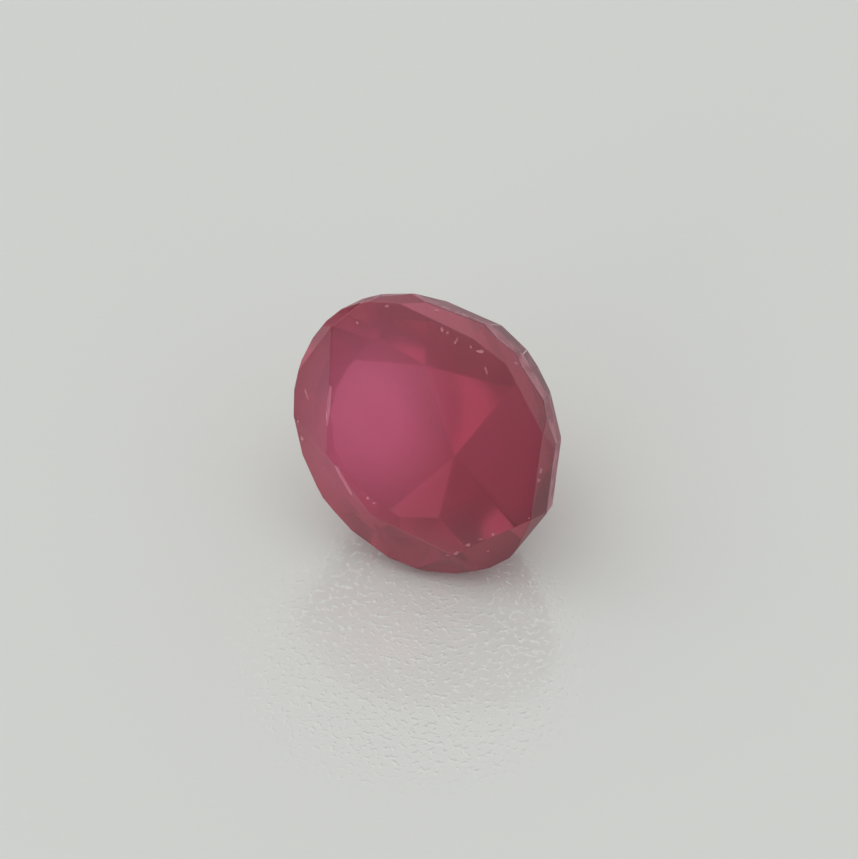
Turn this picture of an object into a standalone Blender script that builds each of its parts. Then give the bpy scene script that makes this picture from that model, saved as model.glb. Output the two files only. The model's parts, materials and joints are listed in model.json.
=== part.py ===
"""A loose oval ruby of native cut, lying on one of its steep pavilion facets.

The stone is ground from a rough block, one flat facet after another, in its own cutting frame:
the girdle's upper edge near Z = 0, the table facing +Z, the oval's long axis along X.
It is then turned onto the facet that it rests on, with the table facing forwards (-Y) and a little up.
"""
import math

import bmesh
import bpy
from mathutils import Matrix, Vector

MM = 0.001

# The outline: an oval whose rim has a corner at each of these angles, round from the long axis.
# The angles are the oval's parameter, in degrees, and they are as uneven as the hand-cut stone's.
LENGTH = 10.1 * MM
WIDTH = 8.7 * MM
RIM_CORNERS = (-174, -165, -154, -143, -130, -119, -102, -84, -67, -49, -32, -19,
               -3, 8, 35, 65, 83, 103.5, 120.5, 153, 166, 175)

# The crown: each side of the table by the direction it faces and its distance from the oval's centre.
# The table sits off centre, so the crown is broad and shallow on one side and steep on the other.
CROWN_HEIGHT = 0.53 * MM
TABLE_SIDES = (
    (-168, 4.80 * MM),
    (-122, 3.20 * MM),
    (-82, 3.08 * MM),
    (-51, 3.26 * MM),
    (0, 4.00 * MM),
    (54, 4.08 * MM),
    (90, 3.97 * MM),
    (117, 4.06 * MM),
    (129, 4.10 * MM),
    (152, 4.73 * MM),
)
SMALLEST_BREAK_TURN = 20
BREAK_DIP = 0.07 * MM

# The girdle: a plain ground wall, thickest towards THICK_SIDE and thin on the far side.
WALL_MEAN = 0.45 * MM
WALL_SWING = 0.55 * MM
THINNEST_WALL = 0.06 * MM
THICK_SIDE = 15

# The pavilion: a steep tier under the girdle, then mains that run in to a short, off-centre keel.
STEEP_MEAN = 74
STEEP_SWING = 5
STEEPEST_SIDE = -8
KEEL_LENGTH = 3.3 * MM
KEEL_TURN = -11
KEEL_MIDDLE = Vector((0.02 * MM, -0.26 * MM, -5.85 * MM))
SIDE_MAINS = (
    (KEEL_TURN - 90, 43),
    (KEEL_TURN + 90, 33),
)
THICK_END_MAINS = (
    (-46.5, 45),
    (1.5, 51.5),
    (50, 50.5),
)
THIN_END_MAINS = (
    (110.5, 44.5),
    (166, 43.5),
    (-134, 40),
)

# The facet that the stone lies on: one wide facet of the steep tier.
REST_AZIMUTH = -35
REST_ANGLE = 68.4
REST_SPAN = 25

ROUGH_SIZE = 16 * MM
PLANE_TOLERANCE = 1e-7

RUBY_RED = (0.32, 0.035, 0.075, 1.0)
POLISH_ROUGHNESS = 0.1
CORUNDUM_IOR = 1.77


def flat_direction(azimuth):
    """The level direction at an azimuth in degrees."""
    turn = math.radians(azimuth)
    return Vector((math.cos(turn), math.sin(turn), 0))


def facet_normal(azimuth, angle, side):
    """The outward normal of a facet ground at an angle to the girdle; side is 1 above it, -1 below."""
    slope = math.radians(angle)
    return flat_direction(azimuth) * math.sin(slope) + Vector((0, 0, side * math.cos(slope)))


def rim_corner(angle):
    turn = math.radians(angle)
    return Vector((LENGTH / 2 * math.cos(turn), WIDTH / 2 * math.sin(turn), 0))


def rim_reach(azimuth):
    """How far the rim's outermost corner lies from the centre, in one direction."""
    return max(rim_corner(angle).dot(flat_direction(azimuth)) for angle in RIM_CORNERS)


def grind(stone, point, normal):
    """Takes away all that lies outside a plane and closes the cut with one facet."""
    everything = stone.verts[:] + stone.edges[:] + stone.faces[:]
    bmesh.ops.bisect_plane(stone, geom=everything, dist=PLANE_TOLERANCE,
                           plane_co=point, plane_no=normal, clear_outer=True)
    open_edges = [edge for edge in stone.edges if edge.is_boundary]
    bmesh.ops.holes_fill(stone, edges=open_edges, sides=0)


def azimuth_of(direction):
    return math.degrees(math.atan2(direction.y, direction.x))


def rim_flats():
    """The middle and the facing azimuth of each flat between two corners of the rim."""
    for start, end in zip(RIM_CORNERS, RIM_CORNERS[1:] + RIM_CORNERS[:1]):
        run = rim_corner(end) - rim_corner(start)
        middle = (rim_corner(start) + rim_corner(end)) / 2
        yield middle, azimuth_of(Vector((run.y, -run.x, 0)))


def turned_to(side, azimuth):
    """1 where the azimuth faces that side of the stone, -1 where it faces away."""
    return math.cos(math.radians(azimuth - side))


def wall_height(azimuth):
    return max(THINNEST_WALL, WALL_MEAN + WALL_SWING * turned_to(THICK_SIDE, azimuth))


def steep_angle(azimuth):
    return STEEP_MEAN + STEEP_SWING * turned_to(STEEPEST_SIDE, azimuth)


def grind_girdle(stone):
    for middle, azimuth in rim_flats():
        grind(stone, middle, facet_normal(azimuth, 90, 1))


def table_corner(first, second):
    """Where two neighbouring sides of the table meet."""
    (first_azimuth, first_distance), (second_azimuth, second_distance) = first, second
    one = flat_direction(first_azimuth)
    two = flat_direction(second_azimuth)
    turn = one.x * two.y - one.y * two.x
    return Vector(((first_distance * two.y - second_distance * one.y) / turn,
                   (second_distance * one.x - first_distance * two.x) / turn,
                   CROWN_HEIGHT))


def grind_crown(stone):
    """The table, a main from each of its sides, and a break from each of its sharper corners."""
    grind(stone, Vector((0, 0, CROWN_HEIGHT)), Vector((0, 0, 1)))
    for azimuth, distance in TABLE_SIDES:
        angle = math.degrees(math.atan2(CROWN_HEIGHT, rim_reach(azimuth) - distance))
        on_table_edge = flat_direction(azimuth) * distance + Vector((0, 0, CROWN_HEIGHT))
        grind(stone, on_table_edge, facet_normal(azimuth, angle, 1))
    for first, second in zip(TABLE_SIDES, TABLE_SIDES[1:] + TABLE_SIDES[:1]):
        turn = (second[0] - first[0]) % 360
        if turn < SMALLEST_BREAK_TURN:
            continue
        azimuth = first[0] + turn / 2
        corner = table_corner(first, second)
        run = rim_reach(azimuth) - corner.dot(flat_direction(azimuth))
        angle = math.degrees(math.atan2(CROWN_HEIGHT + BREAK_DIP, run))
        grind(stone, corner, facet_normal(azimuth, angle, 1))


def grind_under_wall(stone, on_rim, azimuth, angle):
    """A facet of the steep tier, which starts at the lower edge of the girdle's wall."""
    wall_foot = on_rim - Vector((0, 0, wall_height(azimuth)))
    grind(stone, wall_foot, facet_normal(azimuth, angle, -1))


def grind_pavilion(stone):
    """The wide rest facet, a steep facet under each other flat of the girdle, and the mains."""
    rest_rim = flat_direction(REST_AZIMUTH) * rim_reach(REST_AZIMUTH)
    grind_under_wall(stone, rest_rim, REST_AZIMUTH, REST_ANGLE)
    for middle, azimuth in rim_flats():
        if abs(azimuth - REST_AZIMUTH) > REST_SPAN:
            grind_under_wall(stone, middle, azimuth, steep_angle(azimuth))
    half_keel = flat_direction(KEEL_TURN) * KEEL_LENGTH / 2
    for mains, on_keel in ((SIDE_MAINS, KEEL_MIDDLE),
                           (THICK_END_MAINS, KEEL_MIDDLE + half_keel),
                           (THIN_END_MAINS, KEEL_MIDDLE - half_keel)):
        for azimuth, angle in mains:
            grind(stone, on_keel, facet_normal(azimuth, angle, -1))


def lay_down(stone):
    """Turns the rest facet face down and the table to the front, and puts the origin under the middle."""
    down = facet_normal(REST_AZIMUTH, REST_ANGLE, -1)
    turned = down.rotation_difference(Vector((0, 0, -1))).to_matrix()
    table_faces = turned @ Vector((0, 0, 1))
    to_front = Matrix.Rotation(math.radians(-90 - azimuth_of(table_faces)), 3, "Z")
    bmesh.ops.rotate(stone, verts=stone.verts[:], cent=(0, 0, 0), matrix=to_front @ turned)
    lows = [min(vert.co[axis] for vert in stone.verts) for axis in range(3)]
    highs = [max(vert.co[axis] for vert in stone.verts) for axis in range(3)]
    foot = Vector(((lows[0] + highs[0]) / 2, (lows[1] + highs[1]) / 2, lows[2]))
    bmesh.ops.translate(stone, verts=stone.verts[:], vec=-foot)


def ruby_material():
    material = bpy.data.materials.new("ruby")
    material.use_nodes = True
    shader = material.node_tree.nodes["Principled BSDF"]
    shader.inputs["Base Color"].default_value = RUBY_RED
    shader.inputs["Roughness"].default_value = POLISH_ROUGHNESS
    shader.inputs["Metallic"].default_value = 0.0
    shader.inputs["IOR"].default_value = CORUNDUM_IOR
    return material


for old in list(bpy.data.objects):
    bpy.data.objects.remove(old, do_unlink=True)

collection = bpy.data.collections.new("Ruby")
bpy.context.scene.collection.children.link(collection)

stone = bmesh.new()
bmesh.ops.create_cube(stone, size=ROUGH_SIZE)
grind_girdle(stone)
grind_crown(stone)
grind_pavilion(stone)
lay_down(stone)
bmesh.ops.recalc_face_normals(stone, faces=stone.faces[:])

mesh = bpy.data.meshes.new("ruby")
stone.to_mesh(mesh)
stone.free()
mesh.materials.append(ruby_material())
ruby = bpy.data.objects.new("ruby", mesh)
collection.objects.link(ruby)
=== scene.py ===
import json
import math

import bmesh
import bpy
from mathutils import Matrix, Vector, noise
from mathutils.bvhtree import BVHTree


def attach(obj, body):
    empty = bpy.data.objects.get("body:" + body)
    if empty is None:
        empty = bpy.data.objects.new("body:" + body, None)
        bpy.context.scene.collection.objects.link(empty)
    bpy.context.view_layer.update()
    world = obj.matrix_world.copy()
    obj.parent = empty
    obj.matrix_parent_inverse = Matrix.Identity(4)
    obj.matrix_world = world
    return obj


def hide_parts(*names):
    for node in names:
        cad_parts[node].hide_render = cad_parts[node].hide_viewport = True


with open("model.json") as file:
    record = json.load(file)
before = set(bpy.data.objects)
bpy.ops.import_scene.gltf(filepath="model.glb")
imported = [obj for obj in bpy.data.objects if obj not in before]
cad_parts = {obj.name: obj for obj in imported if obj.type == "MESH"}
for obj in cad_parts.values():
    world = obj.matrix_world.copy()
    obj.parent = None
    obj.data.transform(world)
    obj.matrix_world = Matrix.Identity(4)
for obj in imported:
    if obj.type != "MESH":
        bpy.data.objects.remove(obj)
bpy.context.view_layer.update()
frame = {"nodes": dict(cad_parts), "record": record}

# The stone
# A loose oval ruby of native cut: one crystal of corundum, clear but clouded by fine silk.
# Its facets were ground flat by hand and polished, and the wall of its girdle was left as ground.
# Since then its edges have worn and chipped.
MM = 0.001
# Corners closer than this are one corner, and facets that turn by less than this are one facet.
SAME_POINT = 0.05 * MM
SAME_PLANE = math.radians(0.4)
# The wear of the edges. The shortest edges and the smallest facets are too small to hold it.
EDGE_WEAR = 0.018 * MM
EDGE_STEPS = 1
SHORTEST_WORN = 0.25 * MM
SMALLEST_WORN = 0.06 * MM * MM
# Each chip by where it is seen from the front: across and height, then its length, width and depth,
# all in mm, the lean of its length from upright, in degrees, and how raw its break is, from 0 to 1.
# The first two are long slivers off the table's edges on the left, and the one at 5.54 up is a scratch.
CHIPS = (
    (-3.16, 5.62, 1.95, 0.17, 0.050, -3, 0.35),
    (-2.42, 3.22, 1.45, 0.15, 0.045, -37, 0.35),
    (-1.53, 9.12, 0.13, 0.10, 0.030, 70, 0.55),
    (-2.47, 8.40, 0.12, 0.06, 0.020, -30, 0.55),
    (0.09, 9.07, 0.14, 0.08, 0.025, 80, 0.55),
    (0.40, 8.70, 0.20, 0.12, 0.035, -20, 0.55),
    (0.60, 8.62, 0.12, 0.09, 0.030, 60, 0.55),
    (0.91, 8.41, 0.34, 0.07, 0.030, 16, 0.55),
    (1.43, 8.31, 0.13, 0.08, 0.025, -40, 0.55),
    (1.75, 8.22, 0.28, 0.10, 0.030, 80, 0.55),
    (2.02, 7.66, 0.30, 0.09, 0.035, -20, 0.55),
    (2.92, 7.82, 0.15, 0.11, 0.035, 60, 0.55),
    (-4.27, 4.52, 0.12, 0.08, 0.025, 0, 0.55),
    (-4.08, 3.96, 0.20, 0.11, 0.030, -30, 0.55),
    (4.21, 4.66, 0.19, 0.13, 0.040, 10, 0.55),
    (4.19, 4.38, 0.15, 0.12, 0.040, 0, 0.55),
    (4.02, 3.12, 0.11, 0.07, 0.025, 40, 0.55),
    (2.88, 2.36, 0.12, 0.09, 0.030, 0, 0.55),
    (2.46, 2.13, 0.16, 0.08, 0.040, 60, 0.55),
    (2.06, 1.85, 0.17, 0.10, 0.035, 50, 0.55),
    (1.70, 1.50, 0.22, 0.12, 0.040, 45, 0.55),
    (1.42, 1.36, 0.20, 0.06, 0.030, 60, 0.55),
    (2.73, 1.62, 0.10, 0.07, 0.025, 0, 0.55),
    (-4.04, 5.54, 0.40, 0.06, 0.025, -35, 0.3),
    (-1.50, 2.76, 0.13, 0.10, 0.035, 30, 0.55),
    (-1.27, 2.64, 0.12, 0.06, 0.020, 60, 0.55),
)
# A chip is the bite of an ellipsoid this many times as thick as the chip is deep.
CHIP_ROUND = 2.5
# How uneven the ellipsoid is, as a share of its size, and how many bumps it has across half its width.
CHIP_UNEVEN = 0.45
CHIP_BUMPS = 1.6
# The noise that makes the bumps is read this far apart, in units per metre, so no two chips are alike.
CHIPS_APART = 1e5
# Each chip's place is found by looking back at the stone from this far in front, in mm.
IN_FRONT = -30
BACKWARDS = Vector((0, 1, 0))


def chip_cutter(cutters, surface, across, height, length, width, depth, lean, rawness):
    """Adds the uneven ellipsoid that bites one chip out of the surface."""
    seen_from = Vector((across, IN_FRONT, height)) * MM
    place, normal, *_ = surface.ray_cast(seen_from, BACKWARDS)
    turn = math.radians(lean)
    upright = Vector((math.sin(turn), 0, math.cos(turn)))
    along = (upright - normal * upright.dot(normal)).normalized()
    turned = Matrix((along, normal.cross(along), normal)).transposed().to_4x4()
    # The part of the ellipsoid's width that the surface cuts through.
    spread = math.sqrt(1 - (1 - 1 / CHIP_ROUND) ** 2)
    thick = CHIP_ROUND * depth
    sizes = Matrix.Diagonal((length / 2 / spread * MM, width / 2 / spread * MM, thick * MM, 1))
    centre = place + normal * (thick - depth) * MM
    ball = bmesh.ops.create_icosphere(cutters, subdivisions=2, radius=1)["verts"]
    for vert in ball:
        vert.co *= 1 + CHIP_UNEVEN * noise.noise(vert.co * CHIP_BUMPS + centre * CHIPS_APART)
        vert.co = turned @ (sizes @ vert.co) + centre
    for face in {face for vert in ball for face in vert.link_faces}:
        face[cutters.faces.layers.float["chipped"]] = rawness


def as_object(form, name):
    """A bmesh as an object in the scene."""
    mesh = bpy.data.meshes.new(name)
    form.to_mesh(mesh)
    form.free()
    made = bpy.data.objects.new(name, mesh)
    bpy.context.scene.collection.objects.link(made)
    return made


solid = frame["nodes"]["ruby"]
cut = bmesh.new()
cut.from_mesh(solid.data)
bmesh.ops.remove_doubles(cut, verts=cut.verts[:], dist=SAME_POINT)
bmesh.ops.dissolve_limit(cut, angle_limit=SAME_PLANE, verts=cut.verts[:], edges=cut.edges[:])
flats = [facet.normal.copy() for facet in cut.faces]
worn_edges = [edge for edge in cut.edges if edge.calc_length() > SHORTEST_WORN
              and min(facet.calc_area() for facet in edge.link_faces) > SMALLEST_WORN]
bmesh.ops.bevel(cut, geom=worn_edges, offset=EDGE_WEAR, offset_type="OFFSET", segments=EDGE_STEPS,
                profile=0.5, affect="EDGES", clamp_overlap=False)
surface = BVHTree.FromBMesh(cut)
cutters = bmesh.new()
for form in (cut, cutters):
    form.faces.layers.float.new("chipped")
for chip in CHIPS:
    chip_cutter(cutters, surface, *chip)
worn_stone = as_object(cut, "worn_stone")
chips = as_object(cutters, "chips")
bite = worn_stone.modifiers.new("bite", "BOOLEAN")
bite.operation = "DIFFERENCE"
bite.object = chips
bite.solver = "EXACT"
bite.use_self = True
bpy.context.view_layer.update()
drawn = worn_stone.evaluated_get(bpy.context.evaluated_depsgraph_get())
stone_mesh = bpy.data.meshes.new_from_object(drawn)
stone_mesh.name = "stone"
for used in (worn_stone, chips):
    bpy.data.objects.remove(used)
stone = bpy.data.objects.new("stone", stone_mesh)
bpy.context.scene.collection.objects.link(stone)

# Each face is told by how much it faces the way that the table faces, from 1 to -1, and by its depth
# below the table. A face that lies within a degree of one of the stone's own facets is flat, and the
# others are worn edges and chips.
FLAT_ENOUGH = math.cos(math.radians(1))
# The wall of the girdle stands upright to the table.
UPRIGHT = 0.02
# The facets under the thick side of the wall, turned up and to the right, are made rough and painted dark red
# as painted shade.
DARKENED_RISE = (-0.34, -0.15)
TURNED_UP = 0.1
TURNED_RIGHT = 0.2
# The worn edges that lie this far under the table or more and don't face down are painted dark, a painted
# shade that rims the stone.
GIRDLE_BELOW = 0.3 * MM
table = next(mount for mount in frame["record"]["mounts"] if mount["name"] == "table")
table_middle, table_faces = Vector(table["pos_m"]), Vector(table["axis"])
chipped = [layer.value for layer in stone_mesh.attributes["chipped"].data]
for name in ("ground", "painted_dark", "dark_rim"):
    stone_mesh.attributes.new(name, "FLOAT", "FACE")
marks = {name: stone_mesh.attributes[name].data for name in ("ground", "painted_dark", "dark_rim")}
for facet in stone_mesh.polygons:
    rise = facet.normal.dot(table_faces)
    below_table = (table_middle - facet.center).dot(table_faces)
    is_flat = max(facet.normal.dot(flat) for flat in flats) > FLAT_ENOUGH
    marks["ground"][facet.index].value = float(abs(rise) < UPRIGHT and is_flat)
    is_top_right = facet.normal.z > TURNED_UP and facet.normal.x > TURNED_RIGHT
    is_painted_dark = DARKENED_RISE[0] < rise < DARKENED_RISE[1] and is_top_right and is_flat
    marks["painted_dark"][facet.index].value = float(is_painted_dark)
    on_girdle = below_table > GIRDLE_BELOW and rise > DARKENED_RISE[1]
    marks["dark_rim"][facet.index].value = float(on_girdle and not is_flat and not chipped[facet.index])

# Polished corundum: clear and strongly bending, so light comes back out of the facets as patches of red.
# Fine silk clouds the crystal, which veils what is behind it in pink. Its colour is a painted glow: lighter
# pink round a middle on the left, darker red farther out.
CORUNDUM_IOR = 1.77
POLISHED_ROUGHNESS = 0.12
GROUND_ROUGHNESS = 0.6
# How much of the light goes through a polished face, and through one that is raw or is painted dark as shade.
# The ground wall is this far from the one to the other.
CRYSTAL_CLEARNESS = 0.7
ROUGH_CLEARNESS = 0.1
GROUND_SHARE = 0.25
# The light loses its green inside the crystal: the colour that is let through, and the loss per metre.
LET_THROUGH = "#D40090"
LOSS_PER_METRE = 57.0
# The painted glow: its middle, and how far it fades across, back and up, in mm.
GLOW_MIDDLE = (-1.7, -1.0, 5.3)
GLOW_REACH = (7.8, 18.0, 9.6)
# The crystal's colour by the distance from the glow's middle, as a share of that reach: painted lighter as a
# glow near the middle and painted darker farther out.
BODY_AND_GLOW_COLOURS = ((0.15, "#FF7DAA"), (0.38, "#CC5670"), (0.70, "#B6485E"), (0.80, "#9C364C"))
# The marks that grinding leaves are a hundredth of a millimetre wide. They are drawn as streaks of
# about 0.6 mm, which are coarse enough to show.
STREAKS_PER_MM = 1.6
STREAKS_BENT = 0.4
WALL_COLOURS = ((0.40, "#B4707E"), (0.60, "#E2A2B0"))
# The painted shade on the facets under the thick side of the wall: dark red streaks.
PAINTED_DARK_COLOURS = ((0.42, "#743844"), (0.58, "#945460"))
# The painted shade of the thin dark line round the stone.
RIM_SHADE_COLOUR = "#5C2832"
BREAK_COLOUR = "#E6AAB6"
# The sockets of a Mix node for colours: its factor, the colour below, the one above, and the result.
SHARE, BELOW, ABOVE, MIXED = 0, 6, 7, 2


def linear(hex_colour):
    """An sRGB hex colour as the linear colour that a shader's socket takes."""
    parts = [int(hex_colour[i:i + 2], 16) / 255 for i in (1, 3, 5)]
    return [part / 12.92 if part <= 0.04045 else ((part + 0.055) / 1.055) ** 2.4 for part in parts] + [1.0]


def new_material(name):
    """A material with an empty node tree, and its output node."""
    material = bpy.data.materials.new(name)
    material.use_nodes = True
    material.node_tree.nodes.clear()
    output = material.node_tree.nodes.new("ShaderNodeOutputMaterial")
    return material, output


def add_node(owner, kind, settings=None, values=None, links=None):
    """Adds a node to a material or the world.

    Settings are the node's own properties, values are for its sockets, and links are what its sockets take.
    """
    node = owner.node_tree.nodes.new("ShaderNode" + kind)
    for name, value in (settings or {}).items():
        setattr(node, name, value)
    for name, value in (values or {}).items():
        node.inputs[name].default_value = value
    for name, source in (links or {}).items():
        owner.node_tree.links.new(source, node.inputs[name])
    return node


def set_ramp(ramp_node, stops):
    """Gives a colour ramp its stops, each a place from 0 to 1 and a hex colour."""
    elements = ramp_node.color_ramp.elements
    while len(elements) < len(stops):
        elements.new(0.5)
    for element, (place, colour) in zip(elements, stops):
        element.position = place
        element.color = linear(colour)


corundum, corundum_output = new_material("polished corundum")
stone_place = add_node(corundum, "TexCoord")
# The crystal's colour, with a painted glow round a middle on the left.
in_glow = add_node(corundum, "Mapping", settings={"vector_type": "TEXTURE"}, values={
    "Location": Vector(GLOW_MIDDLE) * MM,
    "Scale": Vector(GLOW_REACH) * MM,
}, links={"Vector": stone_place.outputs["Object"]})
from_glow_middle = add_node(corundum, "VectorMath", settings={"operation": "LENGTH"},
                      links={0: in_glow.outputs["Vector"]})
body_and_glow_colour = add_node(corundum, "ValToRGB", links={"Fac": from_glow_middle.outputs["Value"]})
set_ramp(body_and_glow_colour, BODY_AND_GLOW_COLOURS)
# The wall was never polished, so it is rough and pale, with streaks.
ground_wall = add_node(corundum, "Attribute", settings={"attribute_name": "ground"})
streaks = add_node(corundum, "TexNoise", values={
    "Scale": STREAKS_PER_MM / MM,
    "Detail": 3.0,
    "Distortion": STREAKS_BENT,
}, links={"Vector": stone_place.outputs["Object"]})
wall_colour = add_node(corundum, "ValToRGB", links={"Fac": streaks.outputs[0]})
set_ramp(wall_colour, WALL_COLOURS)
with_ground = add_node(corundum, "Mix", settings={"data_type": "RGBA"}, links={
    SHARE: ground_wall.outputs["Fac"],
    BELOW: body_and_glow_colour.outputs[0],
    ABOVE: wall_colour.outputs[0],
})
# The facets under the thick side of the wall are made rough and painted dark red with streaks, as painted
# shade.
painted_dark_facets = add_node(corundum, "Attribute", settings={"attribute_name": "painted_dark"})
painted_dark_colour = add_node(corundum, "ValToRGB", links={"Fac": streaks.outputs[0]})
set_ramp(painted_dark_colour, PAINTED_DARK_COLOURS)
with_painted_dark = add_node(corundum, "Mix", settings={"data_type": "RGBA"}, links={
    SHARE: painted_dark_facets.outputs["Fac"],
    BELOW: with_ground.outputs[MIXED],
    ABOVE: painted_dark_colour.outputs[0],
})
# The girdle's worn edges are painted dark, a painted shade that draws a thin dark line round the stone.
dark_rim_edge = add_node(corundum, "Attribute", settings={"attribute_name": "dark_rim"})
with_dark_rim = add_node(corundum, "Mix", settings={"data_type": "RGBA"}, values={
    ABOVE: linear(RIM_SHADE_COLOUR),
}, links={
    SHARE: dark_rim_edge.outputs["Fac"],
    BELOW: with_painted_dark.outputs[MIXED],
})
# The chips are raw breaks, pale with crushed crystal.
raw_break = add_node(corundum, "Attribute", settings={"attribute_name": "chipped"})
with_chips = add_node(corundum, "Mix", settings={"data_type": "RGBA"}, values={
    ABOVE: linear(BREAK_COLOUR),
}, links={
    SHARE: raw_break.outputs["Fac"],
    BELOW: with_dark_rim.outputs[MIXED],
})
unpolished = add_node(corundum, "Math", settings={"operation": "MAXIMUM"},
                      links={0: ground_wall.outputs["Fac"], 1: painted_dark_facets.outputs["Fac"]})
polish = add_node(corundum, "MapRange", values={"To Min": POLISHED_ROUGHNESS, "To Max": GROUND_ROUGHNESS},
                  links={"Value": unpolished.outputs[0]})
half_ground = add_node(corundum, "Math", settings={"operation": "MULTIPLY"}, values={1: GROUND_SHARE},
                       links={0: ground_wall.outputs["Fac"]})
# How far each face is from clear, as the highest of its four kinds.
veil = half_ground.outputs[0]
for kind in (raw_break, dark_rim_edge, painted_dark_facets):
    veil = add_node(corundum, "Math", settings={"operation": "MAXIMUM"},
                    links={0: veil, 1: kind.outputs["Fac"]}).outputs[0]
clearness = add_node(corundum, "MapRange", values={"To Min": CRYSTAL_CLEARNESS, "To Max": ROUGH_CLEARNESS},
                     links={"Value": veil})
corundum_surface = add_node(corundum, "BsdfPrincipled", values={
    "IOR": CORUNDUM_IOR,
    "Transmission Weight": CRYSTAL_CLEARNESS,
}, links={
    "Base Color": with_chips.outputs[MIXED],
    "Roughness": polish.outputs[0],
    "Transmission Weight": clearness.outputs[0],
})
corundum_body = add_node(corundum, "VolumeAbsorption", values={
    "Color": linear(LET_THROUGH),
    "Density": LOSS_PER_METRE,
})
corundum.node_tree.links.new(corundum_surface.outputs["BSDF"], corundum_output.inputs["Surface"])
corundum.node_tree.links.new(corundum_body.outputs["Volume"], corundum_output.inputs["Volume"])
stone_mesh.materials.append(corundum)

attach(stone, "root")
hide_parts("ruby")

# The surface that the stone lies on
# A plain pale board under a hard clear coat, which has a soft gloss and a fine, slightly pebbled skin.
# It lies loose, and a film of air parts the stone from it.
FLOOR_SIZE = 0.16
# Without the film, the facet underneath would mirror nothing, and would show through the table as black.
AIR_FILM = 0.02 * MM
# The pebbles are about a fifth of a millimetre across. They stand out in one patch in front of the
# stone, here by its middle and by how far they stay whole and are gone, in mm. The rest is nearly smooth.
PEBBLES_PER_MM = 4.8
PEBBLE_HEIGHT = 0.06 * MM
PEBBLED_LEVELS = (0.54, 0.8)
PEBBLED_MIDDLE = (1.2, -7.4, 0)
PEBBLED_REACH = (3.6, 6.6)
SMOOTH_SHARE = 0.12
BOARD_COLOUR = "#D8DAD6"
BOARD_ROUGHNESS = 0.6
COAT_ROUGHNESS = 0.14
COAT_IOR = 1.9

sheet = bmesh.new()
bmesh.ops.create_grid(sheet, x_segments=1, y_segments=1, size=FLOOR_SIZE / 2)
pale_surface = as_object(sheet, "pale_surface")
pale_surface.location.z = -AIR_FILM
# Coated board: the pale base scatters the light, and the coat gives a soft, broken mirror image of the stone.
board, board_output = new_material("glossy white board")
board_place = add_node(board, "TexCoord")
pebbles = add_node(board, "TexNoise", values={"Scale": PEBBLES_PER_MM / MM, "Detail": 1.0, "Roughness": 0.5},
                   links={"Vector": board_place.outputs["Object"]})
raised = add_node(board, "MapRange", values={"From Min": PEBBLED_LEVELS[0], "From Max": PEBBLED_LEVELS[1]},
                  links={"Value": pebbles.outputs[0]})
off_patch = add_node(board, "VectorMath", settings={"operation": "DISTANCE"},
                     values={1: Vector(PEBBLED_MIDDLE) * MM}, links={0: board_place.outputs["Object"]})
on_patch = add_node(board, "MapRange", values={
    "From Min": PEBBLED_REACH[0] * MM,
    "From Max": PEBBLED_REACH[1] * MM,
    "To Min": 1.0,
    "To Max": SMOOTH_SHARE,
}, links={"Value": off_patch.outputs["Value"]})
pebbling = add_node(board, "Math", settings={"operation": "MULTIPLY"},
                    links={0: raised.outputs[0], 1: on_patch.outputs[0]})
pebbled_coat = add_node(board, "Bump", values={"Strength": 1.0, "Distance": PEBBLE_HEIGHT},
                        links={"Height": pebbling.outputs[0]})
board_surface = add_node(board, "BsdfPrincipled", values={
    "Base Color": linear(BOARD_COLOUR),
    "Roughness": BOARD_ROUGHNESS,
    "Specular IOR Level": 0.0,
    "Coat Weight": 1.0,
    "Coat Roughness": COAT_ROUGHNESS,
    "Coat IOR": COAT_IOR,
}, links={"Coat Normal": pebbled_coat.outputs["Normal"]})
board.node_tree.links.new(board_surface.outputs["BSDF"], board_output.inputs["Surface"])
pale_surface.data.materials.append(board)

# The light
# A plain soft sky, dim at the horizon and brighter straight above, and one soft box low in front.
# What shows in the facets is this sky, bent by the stone.
SKY_COLOUR = "#FFFFFF"
# The sky's level by how high it is, from the horizon at 0 to straight above at 1.
SKY_LEVELS = ((0.0, 0.15), (0.14, 0.72), (0.80, 0.72), (1.0, 1.04))
# Softly brighter and darker parts of the sky: azimuth, elevation and half width in degrees, and the
# change of level. Azimuths are from the front, and grow to the right.
SKY_PATCHES = (
    (46, 5, 16, 0.7),
    (-46, 25, 12, 0.55),
    (-70, 14, 11, -0.45),
    (-8, 38, 13, 0.5),
    (180, 6, 22, 0.45),
    (-105, 45, 38, 0.5),
)


def direction(azimuth, elevation):
    """The way from the stone to a place in the room, by its azimuth and elevation in degrees."""
    around, above = math.radians(azimuth), math.radians(elevation)
    return Vector((math.sin(around) * math.cos(above), -math.cos(around) * math.cos(above), math.sin(above)))


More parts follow.
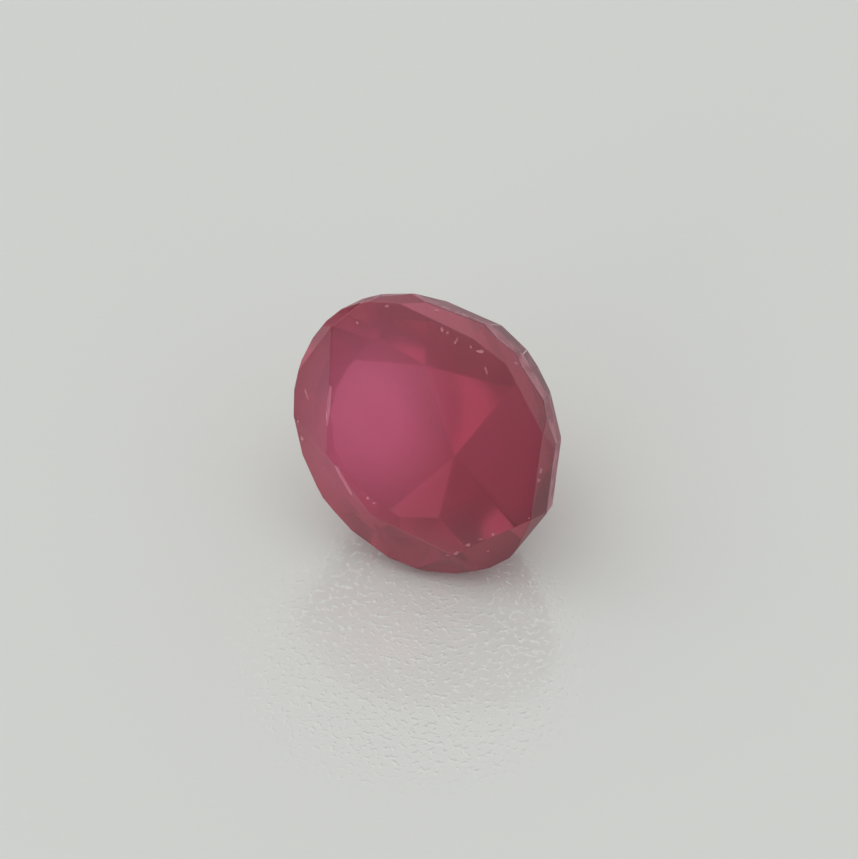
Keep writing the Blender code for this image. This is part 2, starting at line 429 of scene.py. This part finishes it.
world = bpy.data.worlds.new("soft light")
world.use_nodes = True
sky = world.node_tree.nodes["Background"]
sky.inputs["Color"].default_value = linear(SKY_COLOUR)
towards = add_node(world, "TexCoord")
parts = add_node(world, "SeparateXYZ", links={"Vector": towards.outputs["Generated"]})
sky_level = add_node(world, "FloatCurve", links={"Value": parts.outputs["Z"]})
sky_level.mapping.use_clip = False
curve = sky_level.mapping.curves[0]
for height, level in SKY_LEVELS[1:-1]:
    curve.points.new(height, level)
curve.points[0].location = SKY_LEVELS[0]
curve.points[-1].location = SKY_LEVELS[-1]
for point in curve.points:
    point.handle_type = "VECTOR"
sky_level.mapping.update()
brightness = sky_level.outputs[0]
for azimuth, elevation, half_width, change in SKY_PATCHES:
    nearness = add_node(world, "VectorMath", settings={"operation": "DOT_PRODUCT"},
                        values={1: direction(azimuth, elevation)}, links={0: towards.outputs["Generated"]})
    patch = add_node(world, "MapRange", settings={"interpolation_type": "SMOOTHSTEP"}, values={
        "From Min": math.cos(math.radians(half_width)),
        "From Max": 1.0,
        "To Max": change,
    }, links={"Value": nearness.outputs["Value"]})
    brightness = add_node(world, "Math", settings={"operation": "ADD"},
                          links={0: brightness, 1: patch.outputs[0]}).outputs[0]
world.node_tree.links.new(brightness, sky.inputs["Strength"])
bpy.context.scene.world = world

# The soft box lights the pavilion's facets through the table. Its azimuth and elevation are in degrees,
# its sizes in metres and its power in watts.
SOFT_BOX_AZIMUTH = -17.0
SOFT_BOX_ELEVATION = 15.5
SOFT_BOX_DISTANCE = 0.5
SOFT_BOX_WIDTH = 0.24
SOFT_BOX_HEIGHT = 0.21
SOFT_BOX_POWER = 0.24
soft_box = bpy.data.lights.new("soft_box", "AREA")
soft_box.shape = "RECTANGLE"
soft_box.size = SOFT_BOX_WIDTH
soft_box.size_y = SOFT_BOX_HEIGHT
soft_box.energy = SOFT_BOX_POWER
from_stone = direction(SOFT_BOX_AZIMUTH, SOFT_BOX_ELEVATION)
stand = bpy.data.objects.new("soft_box", soft_box)
stand.location = from_stone * SOFT_BOX_DISTANCE
stand.rotation_euler = from_stone.to_track_quat("Z", "Y").to_euler()
bpy.context.scene.collection.objects.link(stand)

# Colours are shown as they are, and light may turn this often inside the stone before it is dropped.
LIGHT_TURNS = 24
bpy.context.scene.view_settings.view_transform = "Standard"
bpy.context.scene.cycles.transmission_bounces = LIGHT_TURNS
bpy.context.scene.cycles.max_bounces = LIGHT_TURNS

# The camera
# It stands to the right of the way that the table faces, and looks down on the stone.
# The picture's width is what it takes in at the stone.
CAMERA_AZIMUTH = 15.85
CAMERA_ELEVATION = 41.99
CAMERA_DISTANCE = 170 * MM
PICTURE_WIDTH = 28.78 * MM
AIM = Vector((-0.097, -0.857, 3.994)) * MM
SENSOR_WIDTH = 36
NEAREST_SEEN = 0.01

back = direction(CAMERA_AZIMUTH, CAMERA_ELEVATION)
right = Vector((math.cos(math.radians(CAMERA_AZIMUTH)), math.sin(math.radians(CAMERA_AZIMUTH)), 0))
up = back.cross(right)
turned_to_stone = Matrix((right, up, back)).transposed().to_4x4()
camera_data = bpy.data.cameras.new("camera")
camera_data.sensor_width = SENSOR_WIDTH
camera_data.lens = SENSOR_WIDTH * CAMERA_DISTANCE / PICTURE_WIDTH
camera_data.clip_start = NEAREST_SEEN
camera = bpy.data.objects.new("camera", camera_data)
camera.matrix_world = Matrix.Translation(AIM + back * CAMERA_DISTANCE) @ turned_to_stone
bpy.context.scene.collection.objects.link(camera)
bpy.context.scene.camera = camera
